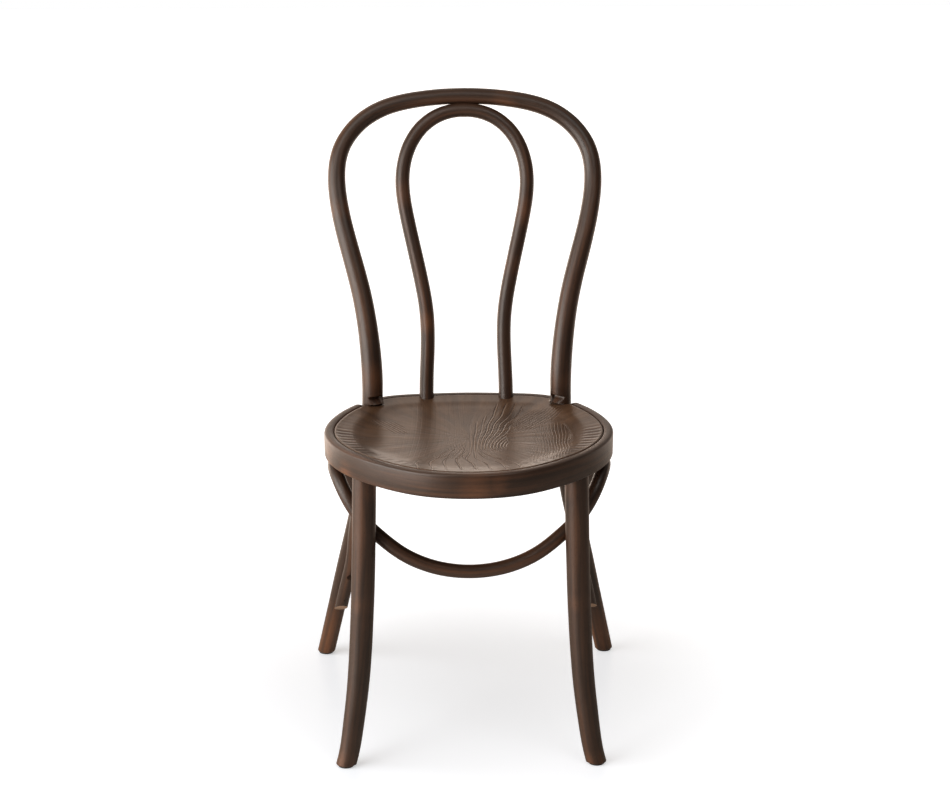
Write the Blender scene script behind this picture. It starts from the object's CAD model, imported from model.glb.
"""Looks of a bentwood bistro chair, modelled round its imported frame. Metres, +Z up, front towards -Y."""

import math

import bmesh
import bpy
import numpy
from bmesh.types import BMEdge, BMVert
from mathutils import Matrix, Vector, noise


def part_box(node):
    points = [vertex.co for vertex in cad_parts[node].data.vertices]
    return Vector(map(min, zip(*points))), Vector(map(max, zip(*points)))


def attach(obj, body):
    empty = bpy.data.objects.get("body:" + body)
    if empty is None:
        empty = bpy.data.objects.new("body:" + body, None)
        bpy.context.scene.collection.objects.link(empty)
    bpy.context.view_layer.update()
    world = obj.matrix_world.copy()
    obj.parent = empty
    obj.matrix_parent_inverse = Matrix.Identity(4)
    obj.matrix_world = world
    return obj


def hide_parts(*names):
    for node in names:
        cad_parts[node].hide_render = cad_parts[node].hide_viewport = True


bl_info = {
    "name": "Bentwood Bistro Chair",
    "version": (1, 0, 0),
    "blender": (4, 5, 0),
    "location": "3D View > Sidebar > Chair",
    "description": "Models the bent bars, ring and pressed seat of a bistro chair and sets its stage",
    "category": "Add Mesh",
}

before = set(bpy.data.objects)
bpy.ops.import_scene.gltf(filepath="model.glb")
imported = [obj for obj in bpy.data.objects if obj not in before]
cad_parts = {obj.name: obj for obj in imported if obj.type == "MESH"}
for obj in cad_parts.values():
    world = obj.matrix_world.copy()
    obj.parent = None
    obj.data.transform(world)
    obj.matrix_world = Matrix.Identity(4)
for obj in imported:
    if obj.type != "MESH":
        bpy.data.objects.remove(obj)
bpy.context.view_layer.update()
MM = 0.001

# Places read from the frame. The seat's middle lies a little behind the middle of its box.
MIDDLE_SHIFT = 0.55 * MM
RING_LOW, RING_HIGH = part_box("seat_ring")
SEAT_TOP = RING_HIGH.z
RING_BOTTOM = RING_LOW.z
SEAT_Y = (RING_LOW.y + RING_HIGH.y) / 2 + MIDDLE_SHIFT
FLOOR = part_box("glide_front_left")[0].z
WOOD_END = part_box("front_leg_left")[0].z

# The tables and sizes from here to the stage are in millimetres, with y counted from the seat's middle.

# Right half of the hoop and rear leg: x, y, height and diameter at stations from the foot to the crown
HOOP = (
    (221.5, 325.4, -12.0, 26.6), (197.8, 275.3, 100.0, 26.9), (176.7, 230.7, 200.0, 27.3),
    (155.5, 186.0, 300.0, 28.4), (143.6, 160.0, 378.0, 29.5), (137.3, 147.5, 455.0, 30.2),
    (137.4, 150.3, 501.8, 30.6), (140.8, 158.5, 544.3, 29.7), (151.8, 179.7, 610.7, 28.4),
    (169.8, 202.4, 677.0, 27.6), (184.8, 228.1, 742.1, 26.1), (187.0, 238.0, 766.0, 25.6),
    (180.4, 255.0, 809.0, 24.9), (168.2, 264.0, 829.6, 24.6), (145.8, 272.9, 850.8, 24.5),
    (115.8, 279.3, 866.3, 24.2), (72.9, 283.4, 876.4, 23.8), (0.0, 285.5, 881.7, 23.4))
# Right half of the inner loop
LOOP = (
    (58.3, 177.2, 434.7, 21.0), (58.0, 186.8, 475.3, 21.0), (56.0, 199.3, 528.0, 21.0),
    (57.6, 210.9, 576.7, 21.0), (65.5, 222.0, 623.3, 21.0), (75.9, 233.0, 670.0, 21.0),
    (86.0, 244.0, 716.2, 21.0), (91.2, 254.9, 762.0, 21.0), (82.9, 265.5, 805.8, 21.0),
    (62.0, 273.2, 838.0, 21.0), (31.8, 277.4, 857.0, 20.8), (0.0, 278.3, 862.2, 20.6))
# Right front leg, from the ring to below the floor
FRONT_LEG = (
    (145.0, -104.0, 420.5, 33.0), (147.5, -107.5, 300.7, 32.7), (151.6, -110.5, 200.2, 32.0),
    (157.9, -113.0, 114.8, 30.7), (164.8, -114.8, 60.1, 29.5), (176.5, -116.5, 0.0, 28.0),
    (180.6, -116.9, -12.0, 28.0))
# Right half of the brace bow, from its end on the rear leg to the middle of its front
BOW_DIAMETER = 19.4
BOW_LINE = (
    (198.0, 263.5, 70.0), (190.6, 247.9, 105.0), (180.0, 225.5, 155.0), (173.2, 209.8, 187.0),
    (167.0, 177.0, 244.0), (162.6, 143.0, 287.0), (165.2, 97.0, 334.0), (173.5, 55.0, 374.0),
    (183.0, 20.0, 402.0), (188.5, -15.0, 410.7), (184.0, -43.0, 404.5), (170.0, -67.5, 380.0),
    (149.0, -77.3, 349.5), (124.3, -86.0, 327.5), (97.0, -91.5, 307.0), (69.5, -94.3, 293.0),
    (36.0, -95.6, 283.1), (0.0, -96.0, 279.7))
BOW = [(*spot, BOW_DIAMETER) for spot in BOW_LINE]
# Right half of the ring's outline, front to rear
OUTLINE = (
    (0.0, -210.0), (62.5, -198.4), (123.0, -156.4), (177.8, -86.0), (202.5, -2.0), (195.0, 66.0),
    (170.9, 127.1), (117.0, 186.6), (59.9, 198.9), (0.0, 203.0))
# Section of the ring, as distance in from the outline and depth below its top
RING_SECTION = (
    (0.0, 3.8), (0.2, 2.6), (0.7, 1.6), (1.5, 0.9), (2.7, 0.4), (4.4, 0.1), (6.4, 0.0), (8.4, 0.1),
    (10.2, 0.35), (11.6, 0.7), (12.6, 1.2), (13.2, 2.0), (13.5, 3.2), (13.6, 6.3), (17.6, 6.4),
    (24.0, 9.0), (34.0, 12.3), (38.0, 12.8), (38.0, 32.7), (36.2, 34.5), (3.4, 34.5), (1.8, 34.2),
    (0.8, 33.4), (0.3, 32.0), (0.0, 14.0))
# Section of the panel's face from its edge inwards, and of its back
PANEL_FACE = (
    (14.0, 5.8), (14.1, 2.8), (14.4, 1.7), (15.0, 1.0), (15.9, 0.65), (17.0, 0.6), (18.2, 0.8),
    (19.8, 1.1), (21.6, 1.5), (24.0, 1.95), (26.6, 2.35), (29.4, 2.75), (32.2, 3.15), (35.0, 3.55),
    (37.6, 4.0), (40.0, 4.6), (42.2, 5.25), (44.6, 5.95), (47.4, 6.75), (50.8, 7.6), (55.0, 8.4),
    (60.0, 9.05), (66.0, 9.6), (72.0, 9.95))
PANEL_BACK = ((14.0, 6.0), (18.0, 6.4), (24.0, 8.6), (34.0, 12.0), (48.0, 13.6), (64.0, 14.8))
# Figure of the face veneer, as families of lines that run front to back. Each row gives the distance behind
# the seat's middle, where the family's first line is, the gap between lines, and the left and right limits.
SWEEP = (
    (160, 21, 13.4, 46, 80), (152, 19.5, 13.0, 44, 80), (108, 15.5, 11.6, 28, 72),
    (65, 13.4, 8.3, 11, 60), (43, 12.3, 7.8, 8, 56), (22, 10.8, 7.0, 4, 52), (0, 9.0, 5.8, 3, 50),
    (-29, 7.9, 4.6, 2, 52), (-43, 7.2, 4.5, 1, 50), (-54, 7.0, 4.9, 1, 46), (-66, 8.6, 6.2, 2, 30))
REAR_RIGHT = (
    (136, 105, 6.2, 96, 128), (108, 87, 6.2, 80, 134), (90, 76.5, 6.2, 74, 124), (72, 66, 6.2, 70, 113),
    (54, 55, 6.2, 68, 102), (32, 41, 6.2, 72, 88))
REAR_LEFT = (
    (86, -137, 5.8, -140, -112), (63, -123.5, 5.8, -128, -96), (49, -115, 5.8, -119, -90),
    (34, -107, 5.8, -110, -88), (18, -98, 5.8, -100, -88))
HOOKS = (
    (-22, -7.5, 4.2, -18, -7), (-43, -7.2, 4.4, -27, -6), (-54, -5.0, 4.6, -30, -4),
    (-65, -7.0, 5.2, -35, -5), (-79, -8.7, 6.1, -41, -7), (-104, -8.0, 7.8, -46, -7))
STEMS = (
    (-62, -13.0, 4.8, -15, 16), (-79, -25.0, 8.1, -28, 25), (-101, -46.0, 13.8, -66, 38),
    (-123, -54.5, 18.7, -76, 62), (-150, -53.0, 19.6, -80, 72), (-182, -51.0, 20.0, -70, 76))
VERTICALS = (
    (70, 94, 5.0, 100, 134), (36, 94, 4.8, 96, 138), (0, 97, 4.4, 92, 141), (-36, 99, 3.8, 90, 139),
    (-72, 98, 3.9, 88, 137), (-108, 92, 4.0, 82, 130), (-142, 90, 4.3, 74, 112))
FAINT = (
    (165, -84, 6.6, -80, -2), (80, -86, 6.9, -82, 4), (0, -90, 7.1, -100, 2),
    (-60, -94, 6.8, -112, -34), (-110, -98, 6.5, -104, -52))
# The families on each of two layers, with how strongly each shows and the width of its lines
FIGURE = {
    "figure_a": ((SWEEP, 1.0, 1.1), (REAR_RIGHT, 1.05, 1.0), (REAR_LEFT, 1.3, 1.0), (HOOKS, 0.7, 0.8)),
    "figure_b": ((STEMS, 1.3, 0.9), (VERTICALS, 0.42, 0.8), (FAINT, 0.14, 0.9))}
# Over how far a family fades in at its sides, its rear end and its front end
SIDE_FADE = 3.5
REAR_FADE = 14.0
FRONT_FADE = 9.0

# The dish inside the panel's slope: depth at its middle, how much of that is gone at its edge, and the
# steps of its mesh, which are coarser inside a share of the way out and stop at the hub
DISH_DEPTH = 12.4
DISH_RISE = 2.45
DISH_STEP = 2.2
COARSE_STEP = 4.0
COARSE_SHARE = 0.3
HUB_SHARE = 0.01

# Pressed rays, as bands that start, are whole, begin to fade and end: angles behind the seat's side, in
# degrees, and distances in from the outline. Then the strengths at the sides, in front and all round, and
# half the width of a ray as a share of the gap.
RAY_SIDES = (-46.0, -36.0, 4.0, 10.0)
RAY_FRONT = (-68.0, -60.0, -48.0, -40.0)
RAY_SLOPE = (16.0, 18.5, 34.0, 46.0)
RAY_STRENGTHS = (0.92, 0.45, 0.08)
RAY_WIDTH = 0.24

# Joint between rear leg and ring: the leg's middle, which is the hoop's station at the ring's top, and a
# splayed notch, measured outwards from there
HOOP_AT_SEAT = Vector((*HOOP[5][:2], 0.0))
NOTCH_FLOOR = -8.4
NOTCH_HALF_FLOOR = 13.2
NOTCH_MOUTH = 45.0
NOTCH_SPLAY = math.radians(28.0)
NOTCH_UNDER = 2.0
NOTCH_OVER = 8.0
# Heights in metres between which the leg's mesh is refined, and between which it is refined again
LEG_REFINED = ((RING_BOTTOM - 6 * MM, SEAT_TOP + 22 * MM), (SEAT_TOP - 3 * MM, SEAT_TOP + 18 * MM))
# Hollow in the rear leg above the ring: height over the ring's top and how far inwards the leg reaches
LEG_HOLLOW = (
    (-60.0, -8.1), (-0.7, -8.1), (0.0, -9.0), (0.2, -12.6), (1.5, -13.0), (3.0, -12.2), (4.5, -11.0),
    (6.0, -9.6), (7.5, -8.3), (9.0, -7.5), (10.0, -7.4), (10.8, -8.1), (11.6, -10.2), (12.4, -14.5),
    (13.2, -20.0))
# Softness of the hollow's edge, and where behind the leg's middle it runs out and how steeply
HOLLOW_EDGE = 2.2
HOLLOW_END = 5.0
HOLLOW_SLOPE = 1.5
# Flare of the leg's heel on the ring: how far, how high, and where inwards and backwards it grows
HEEL_FLARE = 4.0
HEEL_HEIGHT = 2.2
HEEL_INWARDS = (-4.0, -9.0)
HEEL_BACKWARDS = (-14.0, -4.0)
# Recess for a bolt's head in the rear leg
BOLT_HEIGHT = 12.5
BOLT_SEAT = 13.4
BOLT_RADIUS = 7.7
BOLT_LENGTH = 12.0

# Where the loop's foot is cut off below the seat's top, and the socket that takes it
LOOP_CUT = 6.1
SOCKET_DEPTH = 6.2
SOCKET_RADIUS = 10.8
SOCKET_LENGTH = 30.0

# Slanting end of the bow, and how much of the bar about it is cut
BOW_END = (191.9, 250.7, 99.0)
BOW_END_TILT = math.radians(60.0)
BOW_END_NEAR = 120.0
# Recesses in the right half of the bow: middle of the fastener's head, its direction and the recess's width
BOW_HOLES = (
    ((188.5, -15.0, 402.2), (0.0, 0.0, 1.0), 8.8), ((149.0, -68.8, 349.5), (0.0, -1.0, 0.0), 8.8),
    ((176.94, 215.2, 161.62), (0.2343, 0.9533, -0.1907), 8.8),
    ((185.58, 232.94, 118.0), (0.2387, 0.9711, 0.0), 3.5))
BOW_HOLE_LENGTH = 25.0

# Rounding of a foot's edge
FOOT_EDGE = 2.0
# Angles in degrees above which an edge stays sharp
BAR_CREASE = 40
RING_CREASE = 35
PANEL_CREASE = 50
# Corners of a carved piece that are closer than this, in metres, become one
WELD = 1e-6
# Unevenness of a bar: changes per metre across it and along it, and weight
UNEVENNESS = ((60.0, 9.0, 1.0), (160.0, 35.0, 0.5))
# Patches where hands, knees and boots have rubbed the stain, as a spot and a radius
RUBBED = {
    "hoop": ((-139, 150, 495, 34), (-212, 306, 26, 110), (212, 306, 26, 100), (-180, 222, 726, 26),
             (139, 152, 486, 26), (60, 284, 878, 30)),
    "loop": ((88, 244, 716, 34), (-88, 250, 745, 30), (70, 226, 640, 24), (-60, 205, 560, 24)),
    "front_leg": ((130, -112, 405, 24), (150, -112, 240, 22), (176, -118, 8, 26)),
    "bow": ((-162, 120, 305, 26), (162, 120, 305, 26), (-174, 54, 372, 22)),
    "ring": ((34, -200, 440, 21), (6, -204, 434, 34), (-200, -44, 434, 30), (-170, -96, 428, 22))}
# Share of a patch's radius inside which it is whole
RUBBED_CORE = 0.1
# How far the stain's streaks wander across the grain, and how far aside its cloudiness is read
STREAK_WANDER = 17.4
CLOUD_ASIDE = 27.3
# Half widths of a figure line's ridge and groove, and how far aside the groove lies, in line widths
RIDGE_HALF = 1.4
GROOVE_HALF = 1.2
GROOVE_ASIDE = 1.8

# The stage, in metres. Lamps: place, the spot that they face, and size.
LAMPS = {
    "key": ((-1.1, -1.5, 2.8), (0.0, 0.0, 0.45), (1.5, 1.5)),
    "side": ((-2.2, -1.0, 0.95), (0.0, 0.0, 0.5), (2.9, 1.8)),
    "fill": ((0.95, -1.7, 2.75), (0.0, 0.0, 0.4), (1.2, 1.2))}
LAMP_COLOUR = (1.0, 0.94, 0.88)
# Tint of the backdrop as the chair mirrors it
WARM = (1.0, 0.84, 0.72)
# Floor: how far it reaches, its colour as it lights the chair and as the chair mirrors it, its glow to the
# eye, and the dimmer patch round the chair's feet
FLOOR_REACH = 9.0
FLOOR_COLOUR = (0.63, 0.7, 0.79, 1.0)
FLOOR_MIRRORED = (0.6, 0.54, 0.48, 1.0)
FLOOR_GLOW = 0.97
PATCH_DIP = 0.53
PATCH_MIDDLE = (-0.08, 0.05, 0.0)
PATCH_RADII = (0.1, 0.98)
# Width of the camera's sensor, in millimetres
SENSOR_WIDTH = 36.0


# Small helpers

def place(x, y, z):
    """A point in the frame from millimetres, with y counted from the seat's middle."""
    return Vector((x * MM, y * MM + SEAT_Y, z * MM))


def ramp(value, low, high):
    """Evenly from 0 at low to 1 at high, which may also be the smaller of the two."""
    return numpy.clip((value - low) / (high - low), 0.0, 1.0)


def band(value, start, whole_from, fades_from, end):
    """From 0 at the start up to 1, and back to 0 at the end."""
    return ramp(value, start, whole_from) * ramp(value, end, fades_from)


def linked(name, data, materials=()):
    """A new object in the scene, with its materials."""
    for material in materials:
        data.materials.append(material)
    thing = bpy.data.objects.new(name, data)
    bpy.context.scene.collection.objects.link(thing)
    return thing


def stand_for(piece, slot, *nodes):
    """Ties a finished piece to the chair and hides the nodes it stands for."""
    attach(piece, "root")
    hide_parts(*nodes)


def smooth_values(values, marks, count):
    """Natural cubic spline through values at marks, read at even steps."""
    last = len(values) - 1
    gaps = [marks[i + 1] - marks[i] for i in range(last)]
    rise = [(values[i + 1] - values[i]) / gaps[i] for i in range(last)]
    bend = [values[0] * 0.0] * (last + 1)
    lower = [0.0] * (last + 1)
    for i in range(1, last):
        pivot = 2 * (gaps[i - 1] + gaps[i]) - gaps[i - 1] * lower[i - 1]
        lower[i] = gaps[i] / pivot
        bend[i] = ((rise[i] - rise[i - 1]) * 6 - bend[i - 1] * gaps[i - 1]) / pivot
    for i in range(last - 1, 0, -1):
        bend[i] = bend[i] - bend[i + 1] * lower[i]
    found = []
    span = 0
    for step in range(count):
        mark = marks[0] + (marks[-1] - marks[0]) * step / (count - 1)
        while span < last - 1 and mark > marks[span + 1]:
            span += 1
        ahead, behind, gap = marks[span + 1] - mark, mark - marks[span], gaps[span]
        curve = bend[span] * (ahead ** 3 / gap - ahead * gap)
        curve = curve + bend[span + 1] * (behind ** 3 / gap - behind * gap)
        found.append(curve / 6 + (values[span] * ahead + values[span + 1] * behind) / gap)
    return found


def distances(points):
    """How far along a line of points each of them lies."""
    marks = [0.0]
    for a, b in zip(points, points[1:]):
        marks.append(marks[-1] + (b - a).length)
    return marks


def bar_path(stations, pitch):
    """Points, tangents, sides, radii and distances along a bar through its stations."""
    points = [place(x, y, z) for x, y, z, diameter in stations]
    marks = distances(points)
    count = int(marks[-1] / pitch) + 1
    centre = smooth_values(points, marks, count)
    diameters = smooth_values([station[3] for station in stations], marks, count)
    side = Vector((0, 1, 0))
    path = []
    for i, (point, run) in enumerate(zip(centre, distances(centre))):
        tangent = (centre[min(i + 1, count - 1)] - centre[max(i - 1, 0)]).normalized()
        side = (side - tangent * side.dot(tangent)).normalized()
        path.append((point, tangent, side.copy(), diameters[i] * MM / 2, run))
    return path


def whole(stations):
    """Stations of both halves of a bar from those of its right half."""
    left = [(-x, y, z, diameter) for x, y, z, diameter in stations]
    return left + list(reversed(stations[:-1]))


def only(kind, things):
    """The things of one kind, such as edges."""
    return [thing for thing in things if isinstance(thing, kind)]


def grow(body, edges):
    """Extrudes a closed row of open edges, and gives the new row's edges and corners."""
    grown = bmesh.ops.extrude_edge_only(body, edges=edges)["geom"]
    return [edge for edge in only(BMEdge, grown) if edge.is_boundary], only(BMVert, grown)


def store_unbent(body, layer, length):
    """Writes where each corner lay in the straight timber into two UV maps, so that the grain follows the
    bend. A closed ring's length is given, so that the faces over its seam run on past it."""
    across = body.loops.layers.uv.new("across")
    along = body.loops.layers.uv.new("along")
    for face in body.faces:
        far = max(corner.vert[layer].z for corner in face.loops)
        for corner in face.loops:
            x, y, z = corner.vert[layer]
            if length and far - z > length / 2:
                z += length
            corner[across].uv = (x, y)
            corner[along].uv = (z, 0.0)


def bend_bar(stations, sizes, seed):
    """A closed bar: a circle carried along the path, a hand's unevenness in its surface, and flat ends."""
    body = bmesh.new()
    layer = body.verts.layers.float_vector.new("unbent")
    bmesh.ops.create_circle(body, cap_ends=False, radius=1.0, segments=sizes.sides)
    edges = list(body.edges)
    verts = list(body.verts)
    last = Matrix.Identity(4)
    turns = []
    for i, (point, tangent, side, radius, run) in enumerate(bar_path(stations, sizes.pitch)):
        here = Matrix((side, tangent.cross(side), tangent)).transposed().to_4x4()
        here = Matrix.Translation(point) @ here @ Matrix.Diagonal((radius, radius, radius, 1.0))
        if i:
            edges, verts = grow(body, edges)
        bmesh.ops.transform(body, matrix=here @ last.inverted(), verts=verts)
        inverse = here.inverted()
        for vert in verts:
            local = inverse @ vert.co
            vert[layer] = Vector((local.x * radius, local.y * radius, run))
        turns.append((point, verts))
        last = here
    for point, verts in turns:
        for vert in verts:
            x, y, z = vert[layer]
            out = 0.0
            for across, along, weight in UNEVENNESS:
                out += weight * noise.noise(Vector((x * across, y * across, z * along + seed)))
            vert.co += (vert.co - point).normalized() * out * sizes.wobble
    bmesh.ops.holes_fill(body, edges=list(body.edges), sides=0)
    bmesh.ops.recalc_face_normals(body, faces=list(body.faces))
    store_unbent(body, layer, 0.0)
    return body


def cut_off(body, point, normal, faces=None):
    """Cuts faces of a closed piece by a plane, keeps what lies along the normal, and closes the cut."""
    near = faces or list(body.faces)
    parts = list(dict.fromkeys(part for face in near for part in (face, *face.edges, *face.verts)))
    cut = bmesh.ops.bisect_plane(body, geom=parts, plane_co=point, plane_no=normal, clear_inner=True)
    return bmesh.ops.edgeloop_fill(body, edges=only(BMEdge, cut["geom_cut"]))["faces"]


def cut_feet(body):
    """Cuts legs level where their glides begin, and rounds the edges of the cut."""
    soles = cut_off(body, (0, 0, WOOD_END), (0, 0, 1))
    rims = [edge for sole in soles for edge in sole.edges]
    bmesh.ops.bevel(body, geom=rims, offset=FOOT_EDGE * MM, segments=3, profile=0.5, affect="EDGES",
                    material=-1)


def to_mesh(body, name, crease):
    """Turns a bmesh into a mesh, smooth but for its sharp edges."""
    limit = math.radians(crease)
    for face in body.faces:
        face.smooth = True
    for edge in body.edges:
        edge.smooth = not (len(edge.link_faces) == 2 and edge.calc_face_angle(0.0) > limit)
    mesh = bpy.data.meshes.new(name)
    body.to_mesh(mesh)
    body.free()
    return mesh


# Cutters

def prism(corners, low, high):
    """A closed upright block over corners."""
    body = bmesh.new()
    base = body.faces.new([body.verts.new((x, y, low)) for x, y in corners])
    top = bmesh.ops.extrude_face_region(body, geom=[base])["geom"]
    bmesh.ops.translate(body, verts=only(BMVert, top), vec=(0, 0, high - low))
    bmesh.ops.recalc_face_normals(body, faces=list(body.faces))
    return body


def rod(start, direction, radius, length):
    """A closed round bar from a start along a direction, its sizes in millimetres."""
    body = bmesh.new()
    turn = direction.to_track_quat("Z", "Y").to_matrix().to_4x4()
    matrix = Matrix.Translation(start + direction * length * MM / 2) @ turn
    bmesh.ops.create_cone(body, cap_ends=True, segments=32, radius1=radius * MM, radius2=radius * MM,
                          depth=length * MM, matrix=matrix)
    return body


def carve(piece, cutters, material, crease):
    """Cuts closed shapes out of a piece and gives the cut faces a material."""
    joined = bmesh.new()
    for cutter in cutters:
        part = bpy.data.meshes.new("cutter")
        cutter.to_mesh(part)
        cutter.free()
        joined.from_mesh(part)
        bpy.data.meshes.remove(part)
    mesh = bpy.data.meshes.new("cutter")
    joined.to_mesh(mesh)
    joined.free()
    tool = linked("cutter", mesh, [material])
    cut = piece.modifiers.new("joint", "BOOLEAN")
    cut.object = tool
    cut.solver = "MANIFOLD"
    cut.material_mode = "TRANSFER"
    graph = bpy.context.evaluated_depsgraph_get()
    graph.update()
    result = bpy.data.meshes.new_from_object(piece.evaluated_get(graph))
    piece.modifiers.remove(cut)
    body = bmesh.new()
    body.from_mesh(result)
    bmesh.ops.remove_doubles(body, verts=list(body.verts), dist=WELD)
    bmesh.ops.dissolve_degenerate(body, edges=list(body.edges), dist=WELD)
    shaped = to_mesh(body, piece.name, crease)
    for kept in result.materials:
        shaped.materials.append(kept)
    piece.data = shaped
    bpy.data.objects.remove(tool)


def leg_axes(side):
    """Centre of a rear leg at the seat, its outward direction and the level direction along the ring."""
    centre = Vector((HOOP_AT_SEAT.x * side, HOOP_AT_SEAT.y, 0.0))
    out = centre.normalized()
    return centre, out, Vector((out.y * side, -out.x * side, 0.0))


def notch(side):
    """The space that a rear leg takes out of the ring and the panel."""
    centre, out, along = leg_axes(side)
    half_mouth = NOTCH_HALF_FLOOR + (NOTCH_MOUTH - NOTCH_FLOOR) * math.tan(NOTCH_SPLAY)
    corners = []
    for reach, across in ((NOTCH_FLOOR, NOTCH_HALF_FLOOR), (NOTCH_MOUTH, half_mouth),
                          (NOTCH_MOUTH, -half_mouth), (NOTCH_FLOOR, -NOTCH_HALF_FLOOR)):
        corner = centre + out * reach + along * across
        corners.append(place(*corner).xy)
    return prism(corners, RING_BOTTOM - NOTCH_UNDER * MM, SEAT_TOP + NOTCH_OVER * MM)


def socket(side):
    """Room for the foot of the inner loop, which leans back as it leaves the ring."""
    low, high = place(*LOOP[0][:3]), place(*LOOP[1][:3])
    low.x, high.x = low.x * side, high.x * side
    lean = (high - low).normalized()
    start = low + lean * ((SEAT_TOP - SOCKET_DEPTH * MM - low.z) / lean.z)
    return rod(start, lean, SOCKET_RADIUS, SOCKET_LENGTH)


def seat_cutters():
    """What legs and loop take out of the ring, and out of the panel."""
    return [shape(side) for side in (-1, 1) for shape in (notch, socket)]


def hollow_leg(body, side):
    """Seats a rear leg: refines the bar near the ring and presses its inner side to the joint's profile."""
    centre, out, along = leg_axes(side)
    for low, high in LEG_REFINED:
        middles = [(face, face.calc_center_median()) for face in body.faces]
        near = [face for face, spot in middles if low < spot.z < high and spot.x * side > 0]
        edges = list(dict.fromkeys(edge for face in near for edge in face.edges))
        bmesh.ops.subdivide_edges(body, edges=edges, cuts=2, use_grid_fill=True)
    heights, reaches = zip(*LEG_HOLLOW)
    middle = place(*centre)
    low, high = LEG_REFINED[0]
    for vert in body.verts:
        if vert.co.x * side < 0 or not low < vert.co.z < high:
            continue
        over = (vert.co.z - SEAT_TOP) / MM
        away = (vert.co - middle).dot(out) / MM
        back = -(vert.co - middle).dot(along) / MM
        level = float(numpy.interp(over, heights, reaches))
        if over > 0.0:
            level -= max(0.0, back - HOLLOW_END) * HOLLOW_SLOPE
        pressed = 0.5 * (away + level + math.hypot(away - level, HOLLOW_EDGE))
        vert.co += out * (pressed - away) * MM
        if over > 0.0:
            flare = HEEL_FLARE * math.exp(-over / HEEL_HEIGHT)
            vert.co -= out * flare * MM * ramp(pressed, *HEEL_INWARDS) * ramp(back, *HEEL_BACKWARDS)


# Shader maths

class Value:
    """A shader socket that takes part in arithmetic."""

    def __init__(self, tree, socket):
        self.tree = tree
        self.socket = socket

    def math(self, operation, *others):
        """A maths node over this value and others."""
        node = self.tree.nodes.new("ShaderNodeMath")
        node.operation = operation
        for slot, item in zip(node.inputs, (self,) + others):
            put(self.tree, slot, item)
        return Value(self.tree, node.outputs[0])

    def __add__(self, other):
        return self.math("ADD", other)

    __radd__ = __add__

    def __sub__(self, other):
        return self.math("SUBTRACT", other)

    def __rsub__(self, other):
        return -self + other

    def __mul__(self, other):
        return self.math("MULTIPLY", other)

    def __truediv__(self, other):
        return self.math("DIVIDE", other)

    def __neg__(self):
        return self.math("MULTIPLY", -1.0)

    def clamp(self):
        """The value held between 0 and 1."""
        held = self.math("ADD", 0.0)
        held.socket.node.use_clamp = True
        return held

    def step(self, low, high):
        """Smoothly from 0 at low to 1 at high."""
        node = self.tree.nodes.new("ShaderNodeMapRange")
        node.interpolation_type = "SMOOTHSTEP"
        put(self.tree, node.inputs["Value"], self)
        node.inputs["From Min"].default_value = low
        node.inputs["From Max"].default_value = high
        return Value(self.tree, node.outputs["Result"])


def put(tree, slot, item):
    """Links a value's socket or sets a plain value."""
    if isinstance(item, Value):
        tree.links.new(item.socket, slot)
    else:
        slot.default_value = item


def blend(level, *weighed):
    """Noises of different weights, as strays from a level."""
    total = level
    for value, weight in weighed:
        total = total + (value - 0.5) * weight
    return total


class Nodes:
    """A node tree under construction."""

    def __init__(self, tree):
        self.tree = tree

    def node(self, kind, settings=None, inputs=None, out=0):
        """Any node by its type, its settings and the values or links of its sockets."""
        node = self.tree.nodes.new(kind)
        for name, value in (settings or {}).items():
            setattr(node, name, value)
        for name, value in (inputs or {}).items():
            put(self.tree, node.inputs[name], value)
        return Value(self.tree, node.outputs[out])

    def parts(self, vector):
        """The three numbers of a vector."""
        node = self.tree.nodes.new("ShaderNodeSeparateXYZ")
        put(self.tree, node.inputs[0], vector)
        return [Value(self.tree, socket) for socket in node.outputs]

    def vector(self, x, y, z):
        """A vector or colour from three numbers."""
        return self.node("ShaderNodeCombineXYZ", inputs={0: x, 1: y, 2: z})

    def noise(self, vector, scale=1.0, detail=2.0, rough=0.5):
        """Soft noise about 0.5."""
        return self.node("ShaderNodeTexNoise", inputs={"Vector": vector, "Scale": scale, "Detail": detail,
                                                       "Roughness": rough})

    def grain(self, x, y, z, across, along, detail=2.0, rough=0.5):
        """Noise drawn out along z, changing across and along times per metre."""
        return self.noise(self.vector(x * across, y * across, z * along), detail=detail, rough=rough)

    def mix(self, share, a, b):
        """A colour between two others."""
        return self.node("ShaderNodeMix", {"data_type": "RGBA"}, {"Factor": share, "A": a, "B": b}, "Result")

    def distance(self, vector, spot):
        """How far a vector ends from a spot."""
        return self.node("ShaderNodeVectorMath", {"operation": "DISTANCE"}, {0: vector, 1: spot}, "Value")

    def attribute(self, name, out):
        """A layer of the mesh, read as a vector or a number."""
        return self.node("ShaderNodeAttribute", {"attribute_name": name}, out=out)

    def object_place(self):
        """The point itself, as its object holds it."""
        return self.node("ShaderNodeTexCoord", out="Object")

    def unbent_place(self):
        """Where a point lay in the straight timber."""
        across = self.parts(self.node("ShaderNodeUVMap", {"uv_map": "across"}))
        along = self.parts(self.node("ShaderNodeUVMap", {"uv_map": "along"}))
        return self.vector(across[0], across[1], along[0])

    def bump(self, height, distance, strength=1.0, below=None):
        """A normal that a height tilts, over another one where below is given."""
        inputs = {"Height": height, "Distance": distance, "Strength": strength}
        if below is not None:
            inputs["Normal"] = below
        return self.node("ShaderNodeBump", inputs=inputs)


class Finish(Nodes):
    """A material under construction."""

    def __init__(self, name):
        self.material = bpy.data.materials.new(name)
        self.material.use_nodes = True
        super().__init__(self.material.node_tree)

    def set(self, **inputs):
        """Fills the shader's sockets and gives the material."""
        shader = self.tree.nodes["Principled BSDF"]
        for name, item in inputs.items():
            put(self.tree, shader.inputs[name.replace("_", " ")], item)
        return self.material


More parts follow.
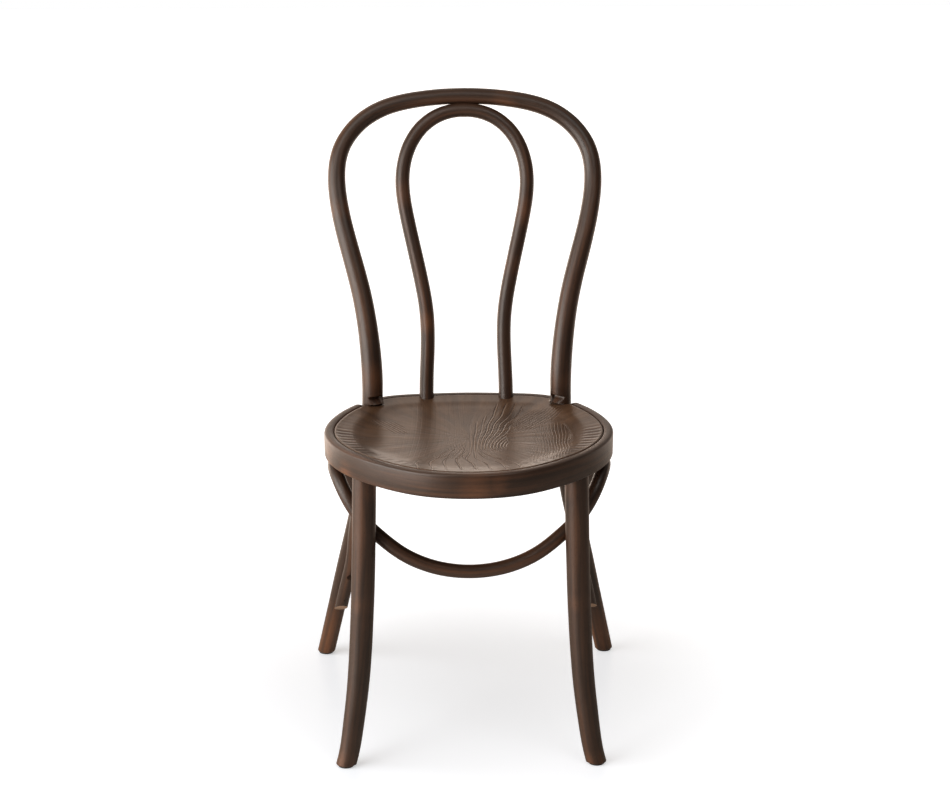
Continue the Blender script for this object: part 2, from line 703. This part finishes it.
def rgb(red, green, blue):
    """A screen colour of 0 to 255 as linear values."""
    def linear(level):
        share = level / 255.0
        return share / 12.92 if share <= 0.04045 else ((share + 0.055) / 1.055) ** 2.4
    return (linear(red), linear(green), linear(blue), 1.0)


# Finishes

def rubbed_patches(wood, spots):
    """Where the stain is rubbed through, as soft patches round spots."""
    here = wood.object_place()
    total = None
    for x, y, z, radius in spots:
        away = wood.distance(here, place(x, y, z))
        patch = 1.0 - away.step(RUBBED_CORE * radius * MM, radius * MM)
        total = patch if total is None else total.math("MAXIMUM", patch)
    return total


def stained_wood(name, stain, spots=()):
    """Dark walnut stain on beech: streaked along the grain, with short dark flecks and rubbed patches.

    A bar shows the grain of the straight timber. A joint, which has no spots, shows that of its own place.
    """
    wood = Finish(name)
    x, y, z = wood.parts(wood.unbent_place() if spots else wood.object_place())
    sway = (wood.grain(x, y, z, across=30.0, along=3.0) - 0.5) * (STREAK_WANDER * MM)
    streak = wood.grain(x + sway, y + sway, z, across=230.0, along=5.0, detail=4.0, rough=0.6)
    fine = wood.grain(x, y, z, across=1500.0, along=45.0, detail=3.0, rough=0.6)
    fleck = wood.grain(x, y, z, across=2400.0, along=260.0, detail=1.0).step(0.62, 0.74)
    cloud = wood.grain(x + CLOUD_ASIDE * MM, y, z, across=110.0, along=4.0)
    drift = wood.noise(wood.object_place(), scale=14.0)
    tone = blend(0.43, (streak, 1.5), (fine, 0.5), (drift, 0.6))
    colour = wood.mix(tone.clamp(), stain.dark, stain.middle)
    warm = cloud.step(0.48, 0.72) * 0.38
    if spots:
        warm = (warm + rubbed_patches(wood, spots) * (cloud.step(0.3, 0.6) * 0.55 + 0.1)).clamp()
    colour = wood.mix(warm, colour, wood.mix(fine, stain.rubbed, stain.rubbed_light))
    colour = wood.mix(fleck * 0.55, colour, stain.pore)
    worn = wood.noise(wood.object_place(), scale=55.0, detail=3.0, rough=0.6)
    normal = wood.bump(fine * 0.5 + streak * 0.35 - fleck * 0.6, distance=0.12 * MM, strength=0.6)
    return wood.set(Base_Color=colour, Roughness=0.34 + worn * 0.16 + fleck * 0.2, Normal=normal,
                    Specular_IOR_Level=0.5, Coat_Weight=0.12, Coat_Roughness=0.22)


def figure_lines(ply, layer, sway):
    """Light ridges and the dark grooves beside them, from a layer of the lines' count, gap and strength."""
    count, gap, strength = ply.parts(ply.attribute(layer, "Vector"))
    number = (count + 0.5).math("FLOOR")
    off = (count - number) * gap + sway
    vary = ply.node("ShaderNodeTexWhiteNoise", {"noise_dimensions": "1D"}, {"W": number})
    ridge = 1.0 - off.math("ABSOLUTE").step(0.0, RIDGE_HALF)
    groove = 1.0 - (off + GROOVE_ASIDE).math("ABSOLUTE").step(0.0, GROOVE_HALF)
    shows = strength * (vary * 0.6 + 0.6)
    return ridge * shows, groove * shows


def seat_wood(stain):
    """The panel: stained ply whose veneer runs front to back, with a pinched figure and pressed rays."""
    ply = Finish("pressed_ply")
    here = ply.object_place()
    x, y = ply.parts(here)[:2]
    y = y - SEAT_Y
    ray = ply.attribute("ray", "Fac")
    sway = (ply.noise(here, scale=30.0, detail=1.5) - 0.5) * 1.2
    ridge_a, groove_a = figure_lines(ply, "figure_a", sway)
    ridge_b, groove_b = figure_lines(ply, "figure_b", sway)
    ridge = ridge_a.math("MAXIMUM", ridge_b)
    groove = groove_a.math("MAXIMUM", groove_b)
    flat = x + (ply.noise(here, scale=14.0) - 0.5) * (8.0 * MM)
    grain = ply.noise(ply.vector(flat * 420.0, y * 9.0, 0.0), detail=3.0, rough=0.65)
    fine = ply.noise(ply.vector(flat * 1700.0, y * 60.0, 0.0), rough=0.6)
    broad = ply.noise(ply.vector(x * 22.0, y * 7.0, 0.0))
    reach = (x * x + y * y).math("SQRT") + 4.0 * MM
    spoke = ply.noise(ply.vector(x / reach * 8.0, y / reach * 8.0, reach * 12.0), detail=3.0, rough=0.6)
    tone = blend(0.46, (grain, 0.5), (fine, 0.25), (broad, 0.7), (spoke, 1.5))
    colour = ply.mix((tone - groove * 0.9 - ray * 0.75).clamp(), stain.seat_dark, stain.seat_light)
    colour = ply.mix((ridge * 0.36).clamp(), colour, stain.figure)
    mottle = ply.noise(here, scale=22.0, detail=3.0, rough=0.6)
    pores = ply.bump(grain * 0.5 + fine * 0.2, distance=0.16 * MM, strength=0.7)
    swell = ply.bump(spoke, distance=1.0 * MM, below=pores)
    lines = ply.bump(ridge - groove * 0.8, distance=0.4 * MM, below=swell)
    return ply.set(Base_Color=colour, Roughness=0.31 + mottle * 0.1 + groove * 0.1, Normal=lines,
                   Specular_IOR_Level=0.5, Coat_Weight=0.1, Coat_Roughness=0.25)


def bare_wood(stain):
    """Sawn ends that never took the stain."""
    wood = Finish("bare_beech")
    x, y, z = wood.parts(wood.object_place())
    rings = wood.noise(wood.vector(x * 500.0, y * 160.0, z * 160.0), detail=3.0, rough=0.6)
    colour = wood.mix(rings, stain.bare_dark, stain.bare_light)
    normal = wood.bump(rings, distance=0.2 * MM, strength=0.6)
    return wood.set(Base_Color=colour, Roughness=0.7, Normal=normal)


def zinc_steel():
    """Dull plated steel, brushed and a little tarnished."""
    steel = Finish("zinc_steel")
    here = steel.object_place()
    patch = steel.noise(here, scale=260.0, detail=3.0, rough=0.6)
    fine = steel.noise(here, scale=2600.0, rough=0.6)
    return steel.set(Base_Color=steel.mix(patch, rgb(84, 76, 68), rgb(150, 144, 136)), Metallic=0.9,
                     Roughness=0.38 + fine * 0.25, Normal=steel.bump(fine, distance=0.04 * MM, strength=0.5))


def dark_nylon():
    """Moulded glides, scuffed by the floor."""
    nylon = Finish("dark_nylon")
    scuff = nylon.noise(nylon.object_place(), scale=420.0, detail=4.0, rough=0.65)
    return nylon.set(Base_Color=nylon.mix(scuff.step(0.45, 0.75), rgb(38, 33, 30), rgb(86, 78, 72)),
                     Roughness=0.45 + scuff * 0.3, Normal=nylon.bump(scuff, distance=0.1 * MM, strength=0.5))


# Sizes and colours that a user may change

def length_property(name, description, metres):
    """A length that a user may change."""
    return bpy.props.FloatProperty(name=name, description=description, default=metres, min=0.0,
                                   unit="LENGTH")


def count_property(name, description, default, least):
    """A whole number that a user may change."""
    return bpy.props.IntProperty(name=name, description=description, default=default, min=least)


def angle_property(name, description, degrees):
    """An angle that a user may change."""
    return bpy.props.FloatProperty(name=name, description=description, default=math.radians(degrees),
                                   subtype="ANGLE")


def power_property(name, description, watts):
    """A lamp's power that a user may change."""
    return bpy.props.FloatProperty(name=name, description=description, default=watts, min=0.0, unit="POWER")


def colour_property(name, description, red, green, blue):
    """A colour that a user may change, with a screen colour as its default."""
    return bpy.props.FloatVectorProperty(name=name, description=description, default=rgb(red, green, blue),
                                         size=4, subtype="COLOR", min=0.0, max=1.0)


class ChairSizes(bpy.types.PropertyGroup):
    """How finely and how unevenly the chair is made."""
    pitch: length_property("Step along a bar", "Distance between rings of a bar", 5 * MM)
    sides: count_property("Sides of a bar", "Faces round a bar", 36, 12)
    wobble: length_property("Hand unevenness", "How far a bar strays from round", 0.22 * MM)
    columns: count_property("Seat columns", "Faces round the seat", 720, 90)
    ray_depth: length_property("Depth of the rays", "How deep the rays are pressed", 0.75 * MM)
    ray_count: count_property("Rays", "Rays round the panel", 80, 0)


class ChairStain(bpy.types.PropertyGroup):
    """Colours of the wood."""
    dark: colour_property("Dark stain", "Deepest tone of the bars", 30, 19, 12)
    middle: colour_property("Middle stain", "Usual tone of the bars", 72, 47, 31)
    rubbed: colour_property("Rubbed", "Stain rubbed thin", 90, 55, 33)
    rubbed_light: colour_property("Rubbed light", "Stain rubbed thinner", 124, 80, 50)
    pore: colour_property("Pores", "Flecks along the grain", 20, 13, 10)
    seat_dark: colour_property("Seat dark", "Dark grain of the panel", 58, 40, 28)
    seat_light: colour_property("Seat light", "Light grain of the panel", 105, 79, 58)
    figure: colour_property("Seat figure", "Light lines of the face veneer", 156, 126, 104)
    bare_dark: colour_property("Bare dark", "Dark grain of a sawn end", 150, 112, 84)
    bare_light: colour_property("Bare light", "Light grain of a sawn end", 196, 160, 128)


class ChairStage(bpy.types.PropertyGroup):
    """Camera and light."""
    distance: length_property("Camera distance", "Level distance from the seat's middle", 3.3)
    height: length_property("Camera height", "Above the floor", 1.421)
    turn: angle_property("Camera turn", "How far round the seat from its front", -1.2)
    yaw: angle_property("Camera yaw", "How far it looks aside from the seat", -0.15)
    pitch: angle_property("Camera pitch", "How far it looks down", 15.73)
    roll: angle_property("Camera roll", "How far the camera leans aside", -0.1)
    lens: bpy.props.FloatProperty(name="Lens", description="Focal length in millimetres", default=93.03,
                                  min=1.0, unit="CAMERA")
    key: power_property("Key light", "Power of the high light at the left", 18.0)
    side: power_property("Side light", "Power of the light beside the chair", 84.0)
    fill: power_property("Fill light", "Power of the light at the right", 11.0)


# Operators

class CHAIR_OT_hoop(bpy.types.Operator):
    """Bend the outer hoop with its two rear legs"""
    bl_idname = "chair.hoop"
    bl_label = "Hoop and rear legs"

    def execute(self, context):
        stain = context.scene.chair_stain
        wood = stained_wood("hoop_wood", stain, RUBBED["hoop"])
        joint = stained_wood("joint_wood", stain)
        body = bend_bar(whole(HOOP), context.scene.chair_sizes, seed=1.0)
        cut_feet(body)
        cutters = []
        for side in (-1, 1):
            hollow_leg(body, side)
            centre, out = leg_axes(side)[:2]
            start = place(*(centre + out * BOLT_SEAT))
            start.z = RING_BOTTOM + BOLT_HEIGHT * MM
            cutters.append(rod(start, out, BOLT_RADIUS, BOLT_LENGTH))
        piece = linked("hoop", to_mesh(body, "hoop", BAR_CREASE), [wood])
        carve(piece, cutters, joint, BAR_CREASE)
        stand_for(piece, "walnut_stain", "back_hoop")
        return {"FINISHED"}


class CHAIR_OT_loop(bpy.types.Operator):
    """Bend the inner loop of the back"""
    bl_idname = "chair.loop"
    bl_label = "Inner loop"

    def execute(self, context):
        wood = stained_wood("loop_wood", context.scene.chair_stain, RUBBED["loop"])
        body = bend_bar(whole(LOOP), context.scene.chair_sizes, seed=7.0)
        cut_off(body, (0, 0, SEAT_TOP - LOOP_CUT * MM), (0, 0, 1))
        piece = linked("loop", to_mesh(body, "loop", BAR_CREASE), [wood])
        stand_for(piece, "walnut_stain", "inner_loop")
        return {"FINISHED"}


class CHAIR_OT_front_legs(bpy.types.Operator):
    """Bend the two front legs"""
    bl_idname = "chair.front_legs"
    bl_label = "Front legs"

    def execute(self, context):
        for name, side in (("left", -1), ("right", 1)):
            spots = [(x * side, y, z, radius) for x, y, z, radius in RUBBED["front_leg"]]
            wood = stained_wood("front_leg_wood_" + name, context.scene.chair_stain, spots)
            stations = [(x * side, y, z, diameter) for x, y, z, diameter in FRONT_LEG]
            body = bend_bar(stations, context.scene.chair_sizes, seed=13.0 + side)
            cut_feet(body)
            piece = linked("front_leg_wood_" + name, to_mesh(body, "front_leg", BAR_CREASE), [wood])
            stand_for(piece, "walnut_stain", "front_leg_" + name)
        return {"FINISHED"}


class CHAIR_OT_bow(bpy.types.Operator):
    """Bend the brace bow under the seat"""
    bl_idname = "chair.bow"
    bl_label = "Brace bow"

    def execute(self, context):
        stain = context.scene.chair_stain
        wood = stained_wood("bow_wood", stain, RUBBED["bow"])
        body = bend_bar(whole(BOW), context.scene.chair_sizes, seed=21.0)
        end_x, end_y, end_z = BOW_END
        inward = Vector((0, math.cos(BOW_END_TILT), math.sin(BOW_END_TILT)))
        cutters = []
        for side in (-1, 1):
            end = place(end_x * side, end_y, end_z)
            middles = [(face, face.calc_center_median()) for face in body.faces]
            near = [face for face, spot in middles
                    if spot.x * side > 0 and (spot - end).length < BOW_END_NEAR * MM]
            for sawn in cut_off(body, end, inward, near):
                sawn.material_index = 1
            for (x, y, z), (across, back, up), width in BOW_HOLES:
                way = Vector((across * side, back, up)).normalized()
                start = place(x * side, y, z) - way * BOW_HOLE_LENGTH * MM
                cutters.append(rod(start, way, width / 2, BOW_HOLE_LENGTH))
        piece = linked("bow", to_mesh(body, "bow", BAR_CREASE), [wood, bare_wood(stain)])
        carve(piece, cutters, bpy.data.materials["joint_wood"], BAR_CREASE)
        stand_for(piece, "walnut_stain", "brace_bow")
        return {"FINISHED"}


def seat_columns(count):
    """Points round the ring's outline from its rear, with directions inwards and distances run, and the
    length of the whole outline."""
    right = [Vector((x, y, 0.0)) for x, y in OUTLINE]
    left = [Vector((-spot.x, spot.y, 0.0)) for spot in reversed(right[1:-1])]
    loop = right[-1:] + left + right[:-1]
    spare = 6
    wrapped = loop[-spare:] + loop + loop[:spare + 1]
    marks = distances(wrapped)
    start, end = marks[spare], marks[spare + len(loop)]
    steps = 8000
    dense = smooth_values(wrapped, marks, steps + 1)
    points = []
    for i in range(count):
        step, share = divmod((start + (end - start) * i / count) / (marks[-1] / steps), 1)
        points.append(dense[int(step)].lerp(dense[int(step) + 1], share))
    runs = distances(points + points[:1])
    columns = []
    for i, point in enumerate(points):
        forward = points[(i + 1) % count] - points[i - 1]
        columns.append((point, Vector((-forward.y, forward.x, 0.0)).normalized(), runs[i]))
    return columns, runs[-1]


def seat_loop(body, columns, inset, depth, previous):
    """Corners and edges of a loop of the seat at an inset and depth, joined to the loop before it."""
    if previous is None:
        verts = [body.verts.new(point) for point, inward, run in columns]
        edges = [body.edges.new((a, b)) for a, b in zip(verts, verts[1:] + verts[:1])]
    else:
        edges, grown = grow(body, previous[1])
        fresh = set(grown)
        verts = []
        for vert in previous[0]:
            others = [edge.other_vert(vert) for edge in vert.link_edges]
            verts.append(next(other for other in others if other in fresh))
    for vert, (point, inward, run) in zip(verts, columns):
        spot = point + inward * inset
        vert.co = place(spot.x, spot.y, SEAT_TOP / MM - depth)
    return verts, edges


class CHAIR_OT_ring(bpy.types.Operator):
    """Bend the seat ring and cut its joints"""
    bl_idname = "chair.ring"
    bl_label = "Seat ring"

    def execute(self, context):
        stain = context.scene.chair_stain
        wood = stained_wood("ring_wood", stain, RUBBED["ring"])
        joint = stained_wood("ring_joint_wood", stain)
        columns, around = seat_columns(context.scene.chair_sizes.columns)
        body = bmesh.new()
        layer = body.verts.layers.float_vector.new("unbent")
        first = previous = None
        for inset, depth in RING_SECTION:
            previous = seat_loop(body, columns, inset, depth, previous)
            first = first or previous
            for vert, (point, inward, run) in zip(previous[0], columns):
                vert[layer] = Vector((inset * MM, depth * MM, run * MM))
        bmesh.ops.bridge_loops(body, edges=first[1] + previous[1])
        bmesh.ops.recalc_face_normals(body, faces=list(body.faces))
        store_unbent(body, layer, around * MM)
        piece = linked("ring", to_mesh(body, "ring", RING_CREASE), [wood])
        carve(piece, seat_cutters(), joint, RING_CREASE)
        stand_for(piece, "walnut_stain", "seat_ring")
        return {"FINISHED"}


def ray_strength(x, y, inset):
    """How deep the pressed rays lie: strongest at both sides, and fading down the slope."""
    angle = math.degrees(math.atan2(y, abs(x)))
    at_sides, in_front, all_round = RAY_STRENGTHS
    return band(inset, *RAY_SLOPE) * (all_round + at_sides * band(angle, *RAY_SIDES)
                                      + in_front * band(angle, *RAY_FRONT))


def family_at(rows, strength, width, x, y):
    """Line count, gap and strength of a family of lines at each spot."""
    points = [Vector(row[1:4]) for row in rows]
    marks = [rows[0][0] - row[0] for row in rows]
    steps = 120
    down = numpy.linspace(0.0, marks[-1], steps)
    spine = smooth_values(points, marks, steps)
    right = smooth_values([row[4] for row in rows], marks, steps)
    below = rows[0][0] - y
    first, gap, left = [numpy.interp(below, down, [point[i] for point in spine]) for i in range(3)]
    right = numpy.interp(below, down, right)
    across = band(x, left - SIDE_FADE, left, right, right + SIDE_FADE)
    ends = band(below, 0.0, REAR_FADE, marks[-1] - FRONT_FADE, marks[-1])
    return (x - first) / gap, gap / width, across * ends * strength


def figure_at(families, x, y):
    """The strongest family of a layer at each spot, as line count, gap and strength."""
    total = numpy.zeros((len(x), 3))
    for rows, strength, width in families:
        found = numpy.stack(family_at(rows, strength, width, x, y), axis=1)
        stronger = found[:, 2] > total[:, 2]
        total[stronger] = found[stronger]
    return total


def press_slope(body, columns, around, ray_count):
    """The panel's rim and slope, with the rays' strength on a layer. Gives the first loop and the last."""
    rays = body.verts.layers.float.new("ray")
    first = previous = None
    for inset, depth in PANEL_FACE:
        previous = seat_loop(body, columns, inset, depth, previous)
        first = first or previous
        for vert, (point, inward, run) in zip(previous[0], columns):
            turn = run / around * ray_count
            away = abs(turn - round(turn)) / RAY_WIDTH
            x, y = vert.co.x / MM, (vert.co.y - SEAT_Y) / MM
            vert[rays] = math.exp(-away * away) * ray_strength(x, y, inset)
    return first, previous


def press_dish(body, columns, slope_end):
    """The dish inside the slope."""
    edge_spots = [vert.co.copy() for vert in slope_end[0]]
    middle = place(0, 0, SEAT_TOP / MM - DISH_DEPTH)
    reach = sum((spot - middle).length for spot in edge_spots) / len(edge_spots)
    previous = slope_end
    share = 1.0
    while share > 2 * HUB_SHARE:
        share -= (DISH_STEP if share > COARSE_SHARE else COARSE_STEP) * MM / reach
        previous = seat_loop(body, columns, 0.0, 0.0, previous)
        for vert, edge_spot in zip(previous[0], edge_spots):
            vert.co = middle.lerp(edge_spot, max(share, HUB_SHARE))
            vert.co.z = SEAT_TOP - (DISH_DEPTH - DISH_RISE * max(share, 0.0) ** 2) * MM
    bmesh.ops.edgeloop_fill(body, edges=previous[1])


class CHAIR_OT_panel(bpy.types.Operator):
    """Press the seat panel"""
    bl_idname = "chair.panel"
    bl_label = "Seat panel"

    def execute(self, context):
        sizes = context.scene.chair_sizes
        columns, around = seat_columns(sizes.columns)
        body = bmesh.new()
        for name in FIGURE:
            body.verts.layers.float_vector.new(name)
        rim, slope_end = press_slope(body, columns, around, sizes.ray_count)
        press_dish(body, columns, slope_end)
        verts = list(body.verts)
        x = numpy.array([vert.co.x / MM for vert in verts])
        y = numpy.array([(vert.co.y - SEAT_Y) / MM for vert in verts])
        for name, families in FIGURE.items():
            layer = body.verts.layers.float_vector[name]
            for vert, value in zip(verts, figure_at(families, x, y)):
                vert[layer] = value
        rays = body.verts.layers.float["ray"]
        for vert in verts:
            vert.co.z -= vert[rays] * sizes.ray_depth
        back = rim
        for inset, depth in PANEL_BACK:
            back = seat_loop(body, columns, inset, depth, back)
        bmesh.ops.edgeloop_fill(body, edges=back[1])
        bmesh.ops.recalc_face_normals(body, faces=list(body.faces))
        wood = seat_wood(context.scene.chair_stain)
        piece = linked("panel", to_mesh(body, "panel", PANEL_CREASE), [wood])
        carve(piece, seat_cutters(), bpy.data.materials["ring_joint_wood"], PANEL_CREASE)
        stand_for(piece, "seat_ply", "seat_panel")
        return {"FINISHED"}


class CHAIR_OT_metal(bpy.types.Operator):
    """Finish the glides, bolts, screws and nails"""
    bl_idname = "chair.metal"
    bl_label = "Glides and fasteners"

    def execute(self, context):
        steel, nylon = zinc_steel(), dark_nylon()
        for name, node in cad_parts.items():
            if name.startswith("glide_") and name != "glide_nails":
                material = nylon
            elif name.endswith(("bolts", "washers", "nuts", "screws", "screw", "pins", "nails")):
                material = steel
            else:
                continue
            for slot in node.material_slots:
                slot.material = material
        return {"FINISHED"}


class CHAIR_OT_stage(bpy.types.Operator):
    """Lay the floor, hang the lights and set the camera"""
    bl_idname = "chair.stage"
    bl_label = "Stage"

    def execute(self, context):
        stage = context.scene.chair_stage
        self.floor()
        self.sky(context.scene)
        for name, (spot, aim, size) in LAMPS.items():
            self.lamp(name, spot, aim, size, getattr(stage, name))
        self.camera(context.scene, stage)
        context.scene.view_settings.view_transform = "Standard"
        return {"FINISHED"}

    def floor(self):
        """A floor that looks white, dimmer round the feet, and that the chair mirrors as lit from behind."""
        body = bmesh.new()
        bmesh.ops.create_grid(body, x_segments=1, y_segments=1, size=FLOOR_REACH)
        white = Finish("white_floor")
        here = white.object_place()
        x, y = white.parts(here)[:2]
        seen = white.node("ShaderNodeLightPath", out="Is Camera Ray")
        mirrored = white.node("ShaderNodeLightPath", out="Is Glossy Ray")
        away = white.distance(here, PATCH_MIDDLE)
        glow = FLOOR_GLOW - (1.0 - away.step(*PATCH_RADII)) * PATCH_DIP
        behind = y.step(0.4, 1.7) * (1.0 - x.step(0.3, 0.7) * 0.65) * 2.7
        light = [seen * glow + mirrored * behind * share for share in WARM]
        base = white.mix(mirrored, FLOOR_COLOUR, FLOOR_MIRRORED)
        white.set(Base_Color=base, Roughness=0.28, Specular_IOR_Level=0.25,
                  Emission_Color=white.vector(*light), Emission_Strength=1.0)
        floor = linked("floor", to_mesh(body, "floor", BAR_CREASE), [white.material])
        floor.location.z = FLOOR

    def sky(self, scene):
        """White behind the chair, dimmer round the camera, and plain white to the eye. A ray's direction has
        x to the right, y away from the camera and z upwards, each from -1 to 1."""
        scene.world = bpy.data.worlds.new("studio")
        scene.world.use_nodes = True
        sky = Nodes(scene.world.node_tree)
        sky.tree.nodes.clear()
        x, y, z = sky.parts(sky.node("ShaderNodeTexCoord", out="Generated"))
        seen = sky.node("ShaderNodeLightPath", out="Is Camera Ray")
        glossy = sky.node("ShaderNodeLightPath", out="Is Glossy Ray")
        low = 1.0 - z.step(0.15, 0.8) * 0.75
        behind = y.step(0.1, 0.85) * (1.0 - x.step(0.0, 0.22) * 0.7 + (-x).step(0.0, 0.2) * 0.15)
        mirrored = 3.3 - z.step(0.0, 0.3) * 3.0 + z.step(0.4, 0.55) * 1.2 - z.step(0.62, 0.85) * 1.25
        left = (-x).step(0.1, 0.9) * low * 0.3
        soft = behind * low * 0.62
        level = soft + (behind * mirrored - soft) * glossy + left + 0.07 + z.step(0.5, 1.0) * 0.25
        colour = sky.vector(*[level * (1.0 - seen) * share + seen for share in WARM])
        background = sky.node("ShaderNodeBackground", inputs={"Color": colour})
        output = sky.tree.nodes.new("ShaderNodeOutputWorld")
        put(sky.tree, output.inputs["Surface"], background)

    def lamp(self, name, spot, aim, size, power):
        """An oblong lamp that faces a spot."""
        light = bpy.data.lights.new(name, "AREA")
        light.shape = "RECTANGLE"
        light.size, light.size_y = size
        light.energy = power
        light.color = LAMP_COLOUR
        lamp = linked(name, light)
        lamp.location = spot
        lamp.rotation_euler = (Vector(aim) - Vector(spot)).to_track_quat("-Z", "Y").to_euler()

    def camera(self, scene, stage):
        """The photograph's camera, placed round the seat's middle."""
        eye = bpy.data.cameras.new("camera")
        eye.sensor_width = SENSOR_WIDTH
        eye.lens = stage.lens
        camera = linked("camera", eye)
        camera.location = (stage.distance * math.sin(stage.turn),
                           SEAT_Y - stage.distance * math.cos(stage.turn), stage.height)
        heading = stage.turn + stage.yaw
        level = math.cos(stage.pitch)
        look = Vector((-math.sin(heading) * level, math.cos(heading) * level, -math.sin(stage.pitch)))
        upright = look.to_track_quat("-Z", "Y").to_matrix() @ Matrix.Rotation(stage.roll, 3, "Z")
        camera.rotation_euler = upright.to_euler()
        scene.camera = camera


class CHAIR_PT_panel(bpy.types.Panel):
    """Lists the steps of the chair"""
    bl_idname = "CHAIR_PT_panel"
    bl_label = "Bistro chair"
    bl_space_type = "VIEW_3D"
    bl_region_type = "UI"
    bl_category = "Chair"

    def draw(self, context):
        for step in STEPS:
            self.layout.operator(step.bl_idname)
        for group in (context.scene.chair_sizes, context.scene.chair_stain, context.scene.chair_stage):
            for name in group.__annotations__:
                self.layout.prop(group, name)


STEPS = (CHAIR_OT_hoop, CHAIR_OT_loop, CHAIR_OT_front_legs, CHAIR_OT_bow, CHAIR_OT_ring, CHAIR_OT_panel,
         CHAIR_OT_metal, CHAIR_OT_stage)
GROUPS = {"chair_sizes": ChairSizes, "chair_stain": ChairStain, "chair_stage": ChairStage}


def register():
    for group in GROUPS.values():
        bpy.utils.register_class(group)
    for step in STEPS + (CHAIR_PT_panel,):
        bpy.utils.register_class(step)
    for name, group in GROUPS.items():
        setattr(bpy.types.Scene, name, bpy.props.PointerProperty(type=group))


def unregister():
    for name in GROUPS:
        delattr(bpy.types.Scene, name)
    for kind in (CHAIR_PT_panel,) + tuple(reversed(STEPS)) + tuple(GROUPS.values()):
        bpy.utils.unregister_class(kind)


def main():
    register()
    for step in STEPS:
        family, action = step.bl_idname.split(".")
        getattr(getattr(bpy.ops, family), action)()


if __name__ == "__main__":
    main()
